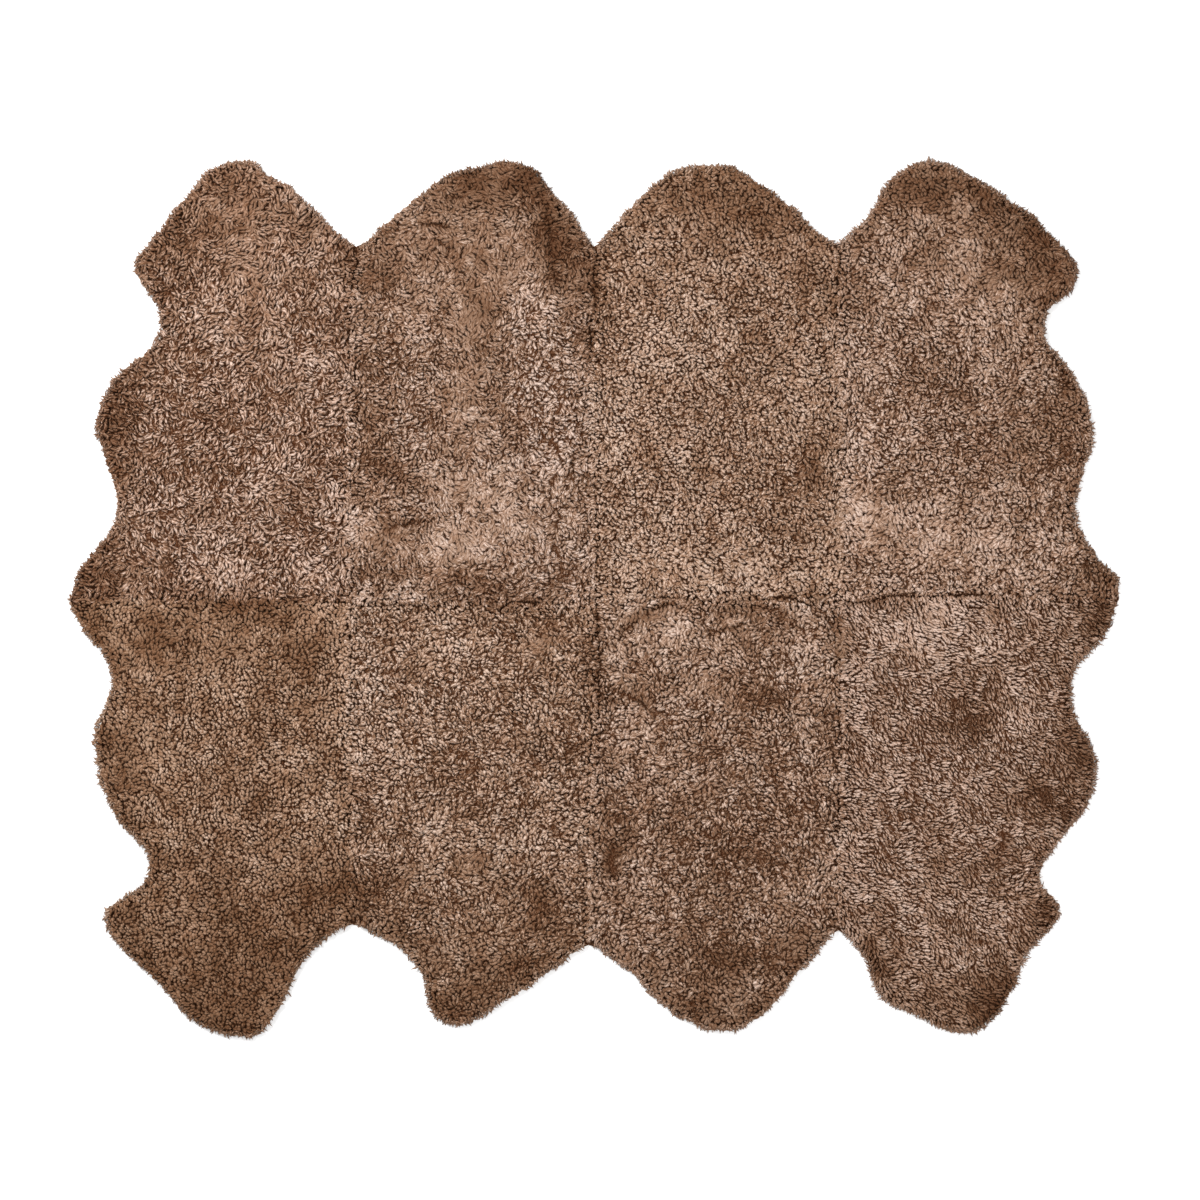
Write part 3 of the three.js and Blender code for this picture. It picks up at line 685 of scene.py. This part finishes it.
class Relief:
    """The height of the solids' tops over the floor, read once on a grid and smoothed a little."""

    STEP = 6 * MM
    MARGIN = 30 * MM
    ABOVE = 1.0
    SMOOTHINGS = 2

    def __init__(self):
        vertices, faces = [], []
        for name in PELTS:
            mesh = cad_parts[name].data
            faces += [[v + len(vertices) for v in face.vertices] for face in mesh.polygons]
            vertices += [vertex.co for vertex in mesh.vertices]
        tree = BVHTree.FromPolygons(vertices, faces)
        low, high = (np.array(corner) for corner in CAD_BOX)
        self.corner = low[:2] - self.MARGIN
        columns, rows = (int(n) for n in (high[:2] + self.MARGIN - self.corner) / self.STEP)
        top, down = high[2] + self.ABOVE, Vector((0, 0, -1))
        heights = np.zeros((columns, rows))
        for i in range(columns):
            for j in range(rows):
                x, y = self.corner + (i * self.STEP, j * self.STEP)
                hit = tree.ray_cast(Vector((x, y, top)), down)[0]
                heights[i, j] = hit.z if hit else 0.0
        for _ in range(self.SMOOTHINGS):
            for axis in (0, 1):
                heights = (np.roll(heights, 1, axis) + 2 * heights + np.roll(heights, -1, axis)) / 4
        self.heights = heights

    def at(self, places):
        cell = (places - self.corner) / self.STEP
        i, j = np.floor(cell).astype(int).T
        s, t = (cell - np.floor(cell)).T
        h = self.heights
        near = h[i, j] * (1 - s) + h[i + 1, j] * s
        far = h[i, j + 1] * (1 - s) + h[i + 1, j + 1] * s
        return near * (1 - t) + far * t

    def ups(self, places):
        """The direction straight out of the surface at each place."""
        reach = 2 * self.STEP
        across, away = (reach, 0), (0, reach)
        slopes = [(self.at(places - way) - self.at(places + way)) / (2 * reach) for way in (across, away)]
        return unit(np.stack([*slopes, np.ones(len(places))], 1))


class Rug:
    """What the operators share, read once from the solids."""

    outlines = None
    relief = None

    @classmethod
    def read(cls):
        if cls.outlines is None:
            loops = {name: hide_loop(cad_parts[name]) for name in PELTS}
            cls.outlines = {name: Outline(name, loops) for name in PELTS}
            cls.relief = Relief()
        return cls


def patched(places):
    """The tone of the wool at each place, how smoothly it is brushed and how much deeper it is cracked."""
    spots = places / MM + np.stack([layered(places, [layer]) for layer in PATCH_DRIFT], 1)
    tone, brush, crack = (np.zeros(len(places)) for _ in range(3))
    for patch in PATCHES:
        along = heading_vectors(patch.heading)
        away = spots - (patch.x, patch.y)
        u = away @ along / patch.along
        v = away @ (-along[1], along[0]) / patch.across
        share = np.exp(-(u**2) - v**2)
        tone += patch.tone * share
        brush = np.maximum(brush, patch.brush * share)
        crack = np.maximum(crack, patch.crack * share)
    return tone, brush, crack


def parted(places):
    """How deep the wool is parted at each place, the tone of the painted shade there, the way it falls aside
    and how far its roots are moved aside."""
    depth, tone = np.zeros(len(places)), np.zeros(len(places))
    fall, moved = np.zeros_like(places), np.zeros_like(places)
    wobble = layered(places, PARTING_WOBBLE)
    strength = PARTED_STRENGTH + layered(places, PARTING_BREAKS)
    for parting in PARTINGS:
        start = np.array((parting.x1, parting.y1))
        way = np.array((parting.x2, parting.y2)) - start
        length = np.linalg.norm(way)
        side = np.array((-way[1], way[0])) / length
        away = places / MM - start
        along = away @ way / length**2
        aside = away @ side - 4 * parting.bow * along * (1 - along) + wobble
        ends = np.exp(-((2 * along - 1) ** PARTED_ENDS))
        share = ends * fade(aside, parting.width) * strength
        depth += parting.depth * MM * share
        tone += parting.tone * share
        wide = ends * fade(aside, PARTED_FALL * parting.width)
        fall += (np.sign(aside) * wide)[:, None] * side
        moved += (np.sign(aside) * PARTED_SHARE * parting.depth * MM * wide * strength)[:, None] * side
    return depth, tone, fall, moved


def hex_grid(loop, spacing, jitter, seed):
    """Uneven places inside an outline, about a spacing apart."""
    low, high = loop.min(0), loop.max(0)
    rise = spacing * math.sin(math.pi / 3)
    columns, rows = (int(n) + 2 for n in (high - low) / (spacing, rise))
    i, j = np.meshgrid(np.arange(columns), np.arange(rows))
    across = i + (j % 2) / 2 + jitter * (scatter(i, j, seed) - 0.5)
    away = j + jitter * (scatter(i, j, seed + 1) - 0.5)
    places = low + np.stack([across.ravel() * spacing, away.ravel() * rise], 1)
    return places[inside(loop, places)]


def clumped(places, loop, across, seed):
    """A value from -1 to 1 for the clump that each place is in, how near it is to the crack round that clump,
    from 0 to 1, and the way out from the clump's middle."""
    middles = hex_grid(loop, across, CLUMP_JITTER, seed + CLUMP_SEED)
    apart = np.linalg.norm(places[:, None] - middles, axis=-1)
    two = np.argpartition(apart, 1, axis=1)[:, :2]
    own, other = np.take_along_axis(apart, two, 1).T
    nearest_one = two[:, 0]
    crack = fade(other - own, CRACK_WIDTH)
    return 2 * scatter(nearest_one, 1, seed) - 1, crack, unit(places - middles[nearest_one])


class Locks:
    """Many locks of wool, as arrays with a row for each lock."""

    COLUMNS = "roots leans ups length width depth curl bend light even".split()

    def __init__(self, **columns):
        for name in self.COLUMNS:
            setattr(self, name, columns[name])

    @classmethod
    def joined(cls, several):
        return cls(**{n: np.concatenate([getattr(each, n) for each in several]) for n in cls.COLUMNS})

    def points(self):
        """The corners of every lock: its root, three round each ring, then the tip."""
        sides = np.cross(self.ups, self.leans)
        spine = []
        for ring in RINGS:
            drop = self.depth if ring is ROOT else 0.0
            over = ring.over * self.length * (self.curl if ring is TIP else 1.0) - drop
            ahead = self.leans * (ring.ahead * self.length)[:, None]
            aside = sides * (ring.aside * self.length * self.bend)[:, None]
            spine.append(self.roots + ahead + aside + self.ups * over[:, None])
        corners = [spine[0]]
        for k, ring in enumerate(RINGS[1:-1], start=1):
            along = unit(spine[k + 1] - spine[k - 1])
            side = unit(sides - along * (sides * along).sum(1, keepdims=True))
            crest = np.cross(along, side)
            half = (ring.wide * self.width / 2)[:, None]
            for s in range(LOCK_SIDES):
                turn = math.pi / 2 + 2 * math.pi * s / LOCK_SIDES
                corners.append(
                    spine[k] + side * half * math.cos(turn) + crest * half * LOCK_THICKNESS * math.sin(turn)
                )
        return np.stack([*corners, spine[-1]], 1)

    def lights(self):
        """How light each corner of every lock is: the rings' painted shade, which brushing and felting even
        out, plus the lock's tone.
        """
        one = [ring.flank if s else ring.crest for ring in RINGS[1:-1] for s in range(LOCK_SIDES)]
        one = np.array([ROOT.crest, *one, TIP.crest])
        return one + (EVEN_LIGHT - one) * EVEN_SHARE * self.even[:, None] + self.light[:, None]


def lock_faces():
    """The faces of one lock as rows of (corner, share round it, share along it)."""
    n, faces = LOCK_SIDES, []
    back, crown, tip = 1, 1 + n, 1 + 2 * n
    for s in range(n):
        after = (s + 1) % n
        left, middle, right = s / n, (s + 0.5) / n, (s + 1) / n
        back_left, back_right = (back + s, left, BACK.along), (back + after, right, BACK.along)
        crown_left, crown_right = (crown + s, left, CROWN.along), (crown + after, right, CROWN.along)
        faces.append([(0, middle, ROOT.along), back_right, back_left])
        faces.append([back_left, back_right, crown_right, crown_left])
        faces.append([crown_left, crown_right, (tip, middle, TIP.along)])
    return faces


class Cloth:
    """A mesh put together from arrays: points, faces, values for each point and maps for each corner."""

    def __init__(self):
        self.points, self.faces, self.sizes = [], [], []
        self.values, self.maps = {}, {}
        self.count = 0

    def add(self, points, faces, sizes, values, maps):
        self.points.append(points)
        self.faces.append(np.asarray(faces) + self.count)
        self.sizes.append(sizes)
        self.count += len(points)
        for store, columns in ((self.values, values), (self.maps, maps)):
            for name, column in columns.items():
                store.setdefault(name, []).append(column)

    def made(self, name, material):
        points, faces, sizes = (np.concatenate(a) for a in (self.points, self.faces, self.sizes))
        mesh = bpy.data.meshes.new(name)
        mesh.vertices.add(len(points))
        mesh.vertices.foreach_set("co", points.astype(np.float32).ravel())
        mesh.loops.add(len(faces))
        mesh.loops.foreach_set("vertex_index", faces.astype(np.int32))
        mesh.polygons.add(len(sizes))
        starts = np.concatenate([[0], np.cumsum(sizes)[:-1]])
        mesh.polygons.foreach_set("loop_start", starts.astype(np.int32))
        mesh.polygons.foreach_set("loop_total", np.asarray(sizes, np.int32))
        mesh.polygons.foreach_set("use_smooth", np.ones(len(sizes), bool))
        for key, columns in self.values.items():
            layer = mesh.attributes.new(key, "FLOAT", "POINT")
            layer.data.foreach_set("value", np.concatenate(columns).astype(np.float32))
        for key, columns in self.maps.items():
            layer = mesh.uv_layers.new(name=key)
            layer.data.foreach_set("uv", np.concatenate(columns).astype(np.float32).ravel())
            layer.active_render = key == "strand"
        mesh.update()
        mesh.validate()
        mesh.materials.append(material)
        piece = bpy.data.objects.new(name, mesh)
        bpy.context.scene.collection.objects.link(piece)
        return piece


def top_locks(name, sizes, rug):
    """The locks that stand on a pelt, each leaning with its neighbours and curling its own way."""
    growth, outline, relief = GROWTHS[name], rug.outlines[name], rug.relief
    seed = SEED + PELTS.index(name)
    random = np.random.default_rng(seed)
    grown = outline.reach + sizes.seam_overlap * outline.out * ~outline.free[:, None]
    places = hex_grid(grown, growth.spacing * MM, LOCK_JITTER, seed)
    edge, rim = nearest(places, outline.free_lines)
    seam = nearest(places, outline.seam_lines)[1]
    kept = rim > sizes.rim_width
    places, edge, rim, seam = places[kept], edge[kept], rim[kept], seam[kept]
    count = len(places)

    tone, brush, cracked = patched(places)
    neck = ((abs(places[:, 1]) - NECK_FROM) / NECK_LENGTH).clip(0, 1)
    depth, dark, fall, moved = parted(places)
    places = places + moved
    clump, crack, spread = clumped(places, outline.reach, growth.clump * MM, seed)
    matted = layered(places, MATTING, seed)
    crack *= growth.crack * (1 + MATTED.crack * matted) + CRACKED.crack * cracked
    crack *= (1 + BRUSH.crack * brush) * (1 + NECK.crack * neck)
    even = growth.felt + MATTED.even * matted + NECK.even * neck + CRACKED.even * cracked
    # The partings' and the cracks' tones added here are painted shade.
    tone += growth.tone + dark + CLUMP.tone * clump + CRACK.tone * crack + layered(places, TONES, seed)
    tone += EACH.tone * (1 + BRUSH.tone * brush) * random.normal(size=count)
    tone += EDGE_TONE * fade(rim, EDGE_TONE_WIDTH)

    turn = layered(places, SWIRLS, seed) + CLUMP.turn * clump
    stray = EACH.stray * (1 + BRUSH.stray * brush) * random.normal(size=count)
    lean = heading_vectors(growth.heading + growth.wild * ((1 + BRUSH.turn * brush) * turn + stray))
    outwards = unit(edge - places) * fade(rim, EDGE_LEAN_WIDTH)[:, None]
    gather = GATHER * growth.wild * (1 - brush)[:, None]
    lean = unit(lean + gather * spread + EDGE_LEAN * outwards + PARTED_LEAN * fall)

    uneven = CLUMP.lift * clump + EACH.lift * random.normal(size=count)
    lift = (growth.rough * (1 + BRUSH.lift * brush) * uneven + CRACK.lift * crack) * MM
    size = (1 + EACH.length * random.normal(size=count)).clip(*SIZE_RANGE)
    shorter = 1 - PARTED_SHORTER * (depth / DEEP_PARTING).clip(0, 1)
    length = growth.length * MM * size * (1 + BRUSH.length * brush) * shorter
    tilted = EACH.tilt * (1 + BRUSH.tilt * brush)[:, None] * random.normal(size=(count, 3)) * (1, 1, 0)
    ups = unit(relief.ups(places) + tilted)
    leans = np.column_stack([lean, np.zeros(count)])
    leans = unit(leans - ups * (leans * ups).sum(1, keepdims=True))
    fluff = SEAM_FLUFF * fade(seam, SEAM_FLUFF_WIDTH)
    heights = (relief.at(places) + fluff + lift - depth - SUNK_SHARE * length).clip(LOWEST_LOCK)
    girth = (1 + EACH.width * random.normal(size=count)).clip(*WIDTH_RANGE)
    return Locks(
        roots=np.column_stack([places, heights]),
        leans=leans,
        ups=ups,
        length=length,
        width=growth.width * MM * size * (1 + BRUSH.width * brush) * girth,
        depth=np.full(count, sizes.wool_depth).clip(None, heights - LOWEST_ROOT),
        curl=growth.curl * (1 + BRUSH.curl * brush) * random.uniform(*CURL_RANGE, count),
        bend=growth.wild * (BEND_TOGETHER * np.sign(clump) + BEND_ALONE * random.uniform(-1, 1, count)),
        light=TONE_STEP * np.maximum(tone, DARKEST_TONE),
        even=(even + (1 - even) * brush).clip(LEAST_EVEN, 1),
    )


def rim_locks(name, rug):
    """The locks that hang out over the free edges of a pelt, in rows from the floor up."""
    growth, outline = GROWTHS[name], rug.outlines[name]
    random = np.random.default_rng(SEED + RIM_SEED + PELTS.index(name))
    starts, ends = outline.free_lines
    spans = np.linalg.norm(ends - starts, axis=1)
    rows = []
    for row in RIM_ROWS:
        counts = np.maximum(1, spans / (row.spacing * MM)).round().astype(int)
        line = np.repeat(np.arange(len(starts)), counts)
        step = np.concatenate([np.arange(n) for n in counts])
        count = len(line)
        share = ((step + random.uniform(0, 1, count)) / counts[line])[:, None]
        out = unit(outline.free_outs[0][line] * (1 - share) + outline.free_outs[1][line] * share)
        places = starts[line] * (1 - share) + ends[line] * share
        inset = row.inset - layered(places, RIM_RUFFLES) + RIM_SPREAD.inset * random.normal(size=count)
        places = places - out * inset[:, None] * MM
        sway = RIM_SPREAD.sway * random.normal(size=count)[:, None]
        flat = unit(out + sway * np.column_stack([-out[:, 1], out[:, 0]]))
        tilt = np.radians(row.tilt + RIM_SPREAD.tilt * random.normal(size=count))[:, None]
        leans = np.column_stack([flat * np.cos(tilt), np.sin(tilt)])
        ups = np.column_stack([-flat * np.sin(tilt), np.cos(tilt)])
        size = (1 + RIM_SPREAD.size * random.normal(size=count)).clip(*SIZE_RANGE)
        tone = growth.tone + patched(places)[0] + RIM_SPREAD.tone * random.normal(size=count) + RIM_TONE
        rows.append(
            Locks(
                roots=np.column_stack([places, np.full(count, row.height * MM)]),
                leans=leans,
                ups=ups,
                length=row.length * MM * size,
                width=RIM_LOCK_WIDTH * growth.width * MM * size,
                depth=np.full(count, RIM_ROOT_DEPTH),
                curl=random.uniform(*RIM_CURLS, count),
                bend=random.uniform(-1, 1, count),
                light=TONE_STEP * tone,
                even=np.full(count, RIM_EVEN),
            )
        )
    return Locks.joined(rows)


def add_locks(cloth, locks):
    """Adds every lock to a mesh, with its own cell of the baked picture."""
    count = len(locks.length)
    points = locks.points()
    points[..., 2] = points[..., 2].clip(LOWEST_WOOL)
    one = lock_faces()
    corners = np.array([corner for face in one for corner, _, _ in face])
    round_along = np.array([place for face in one for _, *place in face])
    per_lock = points.shape[1]
    faces = (np.arange(count)[:, None] * per_lock + corners).ravel()
    sizes = np.tile([len(face) for face in one], count)

    columns = math.ceil(math.sqrt(count))
    cells = np.stack([np.arange(count) % columns, np.arange(count) // columns], 1)
    within = CELL_MARGIN + (1 - 2 * CELL_MARGIN) * round_along
    baked = (cells[:, None] + within) / columns * (1, LOCK_SHARE)
    offsets = np.stack([scatter(np.arange(count), axis, STRAND_SEED) for axis in (1, 2)], 1) * STRAND_SCATTER
    strand = round_along + offsets[:, None]
    streak = np.repeat(FIBRE_CONTRAST * (1 - FIBRE_EVENED * locks.even), per_lock)
    values = {"light": locks.lights().ravel(), "streak": streak}
    maps = {"OFBake": baked.reshape(-1, 2), "strand": strand.reshape(-1, 2)}
    cloth.add(points.reshape(-1, 3), faces, sizes, values, maps)


def sheet_faces(loop, spacing, seed):
    """Points and triangles that fill an outline, the outline's own points first."""
    inner = hex_grid(loop, spacing, SHEET_JITTER, seed)
    around = loop, np.roll(loop, -1, 0)
    inner = inner[nearest(inner, around)[1] > spacing / 2]
    points = [Vector(p) for p in np.concatenate([loop, inner])]
    edges = [(i, (i + 1) % len(loop)) for i in range(len(loop))]
    found = delaunay_2d_cdt(points, edges, [], 1, 1e-7)
    return np.array([tuple(p) for p in found[0]]), np.array(found[2])


def add_pile_floor(cloth, name, sizes, rug):
    """A sheet under the locks, painted dark as the shade deep in the wool between them."""
    outline = rug.outlines[name]
    loop = outline.hide - PILE_INSET * outline.out * outline.free[:, None]
    places, triangles = sheet_faces(loop, PILE_SPACING, SEED)
    low = sizes.hide_thickness + PILE_OVER_HIDE
    depth = parted(places)[0]
    heights = (rug.relief.at(places) - sizes.wool_depth * PILE_DEPTH_SHARE - depth).clip(low)
    heights[: len(loop)][outline.free] = low
    points = np.column_stack([places, heights])
    corner = places.min(0)
    baked = (places - corner) / (places.max(0) - corner) * STRIP_SIZE + STRIP_CORNER
    corners = triangles.ravel()
    constants = {"light": PILE_FLOOR_PAINTED_SHADE, "streak": FIBRE_CONTRAST}
    values = {key: np.full(len(points), value) for key, value in constants.items()}
    maps = {"OFBake": baked[corners], "strand": places[corners] / PILE_PATTERN}
    cloth.add(points, corners, np.full(len(triangles), 3), values, maps)


class RUG_OT_wool(bpy.types.Operator):
    """Grow the wool of every pelt as locks over a pile floor painted dark as shade"""

    bl_idname = "rug.wool"
    bl_label = "Wool"

    def execute(self, context):
        sizes, colours = context.scene.rug_sizes, context.scene.rug_colours
        rug = Rug.read()
        for name in PELTS:
            cloth = Cloth()
            add_locks(cloth, Locks.joined([top_locks(name, sizes, rug), rim_locks(name, rug)]))
            add_pile_floor(cloth, name, sizes, rug)
            piece_name = name.replace("pelt", "wool")
            piece = cloth.made(piece_name, wool_finish(piece_name, colours, GROWTHS[name]))
            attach(piece, "root")
            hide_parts(name)
        return {"FINISHED"}


def loop_area(loop):
    x, y = loop.T
    return 0.5 * abs((x * np.roll(y, -1) - np.roll(x, -1) * y).sum())


class RUG_OT_hides(bpy.types.Operator):
    """Cut a flat hide for every pelt, which carries its wool"""

    bl_idname = "rug.hides"
    bl_label = "Hides"

    def execute(self, context):
        sizes, colours = context.scene.rug_sizes, context.scene.rug_colours
        rug = Rug.read()
        suede = suede_finish("suede", colours)
        for name in PELTS:
            loop = rug.outlines[name].hide
            places, triangles = sheet_faces(loop, HIDE_SPACING, SEED)
            count, rim = len(places), np.arange(len(loop))
            after = np.roll(rim, -1)
            top = np.column_stack([places, np.full(count, sizes.hide_thickness)])
            bottom = np.column_stack([places, np.zeros(count)])
            walls = np.stack([rim + count, after + count, after, rim], 1)
            faces = np.concatenate([triangles.ravel(), triangles[:, ::-1].ravel() + count, walls.ravel()])
            counts = [3] * (2 * len(triangles)) + [4] * len(walls)
            cloth = Cloth()
            cloth.add(np.concatenate([top, bottom]), faces, counts, {}, {})
            hide = cloth.made(name.replace("pelt", "hide"), suede)
            hide.data.polygons.foreach_set("use_smooth", np.zeros(len(counts), bool))
            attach(hide, "root")
            float(loop_area(loop))
        return {"FINISHED"}


# The photograph's frame: its width in metres, and its middle from the rug's middle.
FRAME_WIDTH = 2.52
FRAME_MIDDLE = (9.5 * MM, -4.6 * MM)
LENS = 135.0
SENSOR = 36.0
# The studio's soft lights, which face the rug's middle: place and diameter in metres, and power in watts.
Lamp = namedtuple("Lamp", "name place size power")
LAMPS = (
    Lamp("key", (-2.4, 2.2, 3.6), 1.6, 256),
    Lamp("fill", (2.8, -1.5, 3.8), 3.0, 105),
)
SKY_STRENGTH = 0.95
FLOOR_GAP = 0.3 * MM  # the floor lies this far below the hides


class RUG_OT_stage(bpy.types.Operator):
    """Set up the floor, the soft lights and the camera straight above"""

    bl_idname = "rug.stage"
    bl_label = "Stage"

    def execute(self, context):
        scene = context.scene
        half = scene.rug_sizes.floor_width / 2
        mesh = bpy.data.meshes.new("floor")
        corners = [(-half, -half, 0), (half, -half, 0), (half, half, 0), (-half, half, 0)]
        mesh.from_pydata(corners, [], [(0, 1, 2, 3)])
        mesh.materials.append(floor_finish("floor", scene.rug_colours))
        floor = bpy.data.objects.new("floor", mesh)
        floor.location.z = -FLOOR_GAP
        scene.collection.objects.link(floor)

        world = bpy.data.worlds.new("studio")
        world.use_nodes = True
        background = world.node_tree.nodes["Background"]
        background.inputs["Color"].default_value = (1, 1, 1, 1)
        background.inputs["Strength"].default_value = SKY_STRENGTH
        scene.world = world
        scene.view_settings.view_transform = "Standard"

        for each in LAMPS:
            light = bpy.data.lights.new(each.name, "AREA")
            light.shape = "DISK"
            light.size = each.size
            light.energy = each.power
            lamp = bpy.data.objects.new(each.name, light)
            lamp.location = each.place
            lamp.rotation_euler = (-Vector(each.place)).to_track_quat("-Z", "Y").to_euler()
            scene.collection.objects.link(lamp)

        camera = bpy.data.objects.new("camera", bpy.data.cameras.new("camera"))
        camera.data.lens = LENS
        camera.data.sensor_width = SENSOR
        camera.location = (*FRAME_MIDDLE, FRAME_WIDTH * LENS / SENSOR)
        scene.collection.objects.link(camera)
        scene.camera = camera
        return {"FINISHED"}


class RUG_PT_panel(bpy.types.Panel):
    """The rug's sizes, colours and steps"""

    bl_idname = "RUG_PT_panel"
    bl_label = "Lambskin Rug"
    bl_space_type = "VIEW_3D"
    bl_region_type = "UI"
    bl_category = "Lambskin Rug"

    def draw(self, context):
        for group in (context.scene.rug_sizes, context.scene.rug_colours):
            for name in group.__annotations__:
                self.layout.prop(group, name)
        for operator in OPERATORS:
            self.layout.operator(operator.bl_idname)


OPERATORS = (RUG_OT_wool, RUG_OT_hides, RUG_OT_stage)
CLASSES = (RugSizes, RugColours, *OPERATORS, RUG_PT_panel)


def register():
    for each in CLASSES:
        bpy.utils.register_class(each)
    bpy.types.Scene.rug_sizes = bpy.props.PointerProperty(type=RugSizes)
    bpy.types.Scene.rug_colours = bpy.props.PointerProperty(type=RugColours)


def unregister():
    del bpy.types.Scene.rug_colours
    del bpy.types.Scene.rug_sizes
    for each in reversed(CLASSES):
        bpy.utils.unregister_class(each)


def main():
    register()
    bpy.ops.rug.wool()
    bpy.ops.rug.hides()
    bpy.ops.rug.stage()


if __name__ == "__main__":
    main()
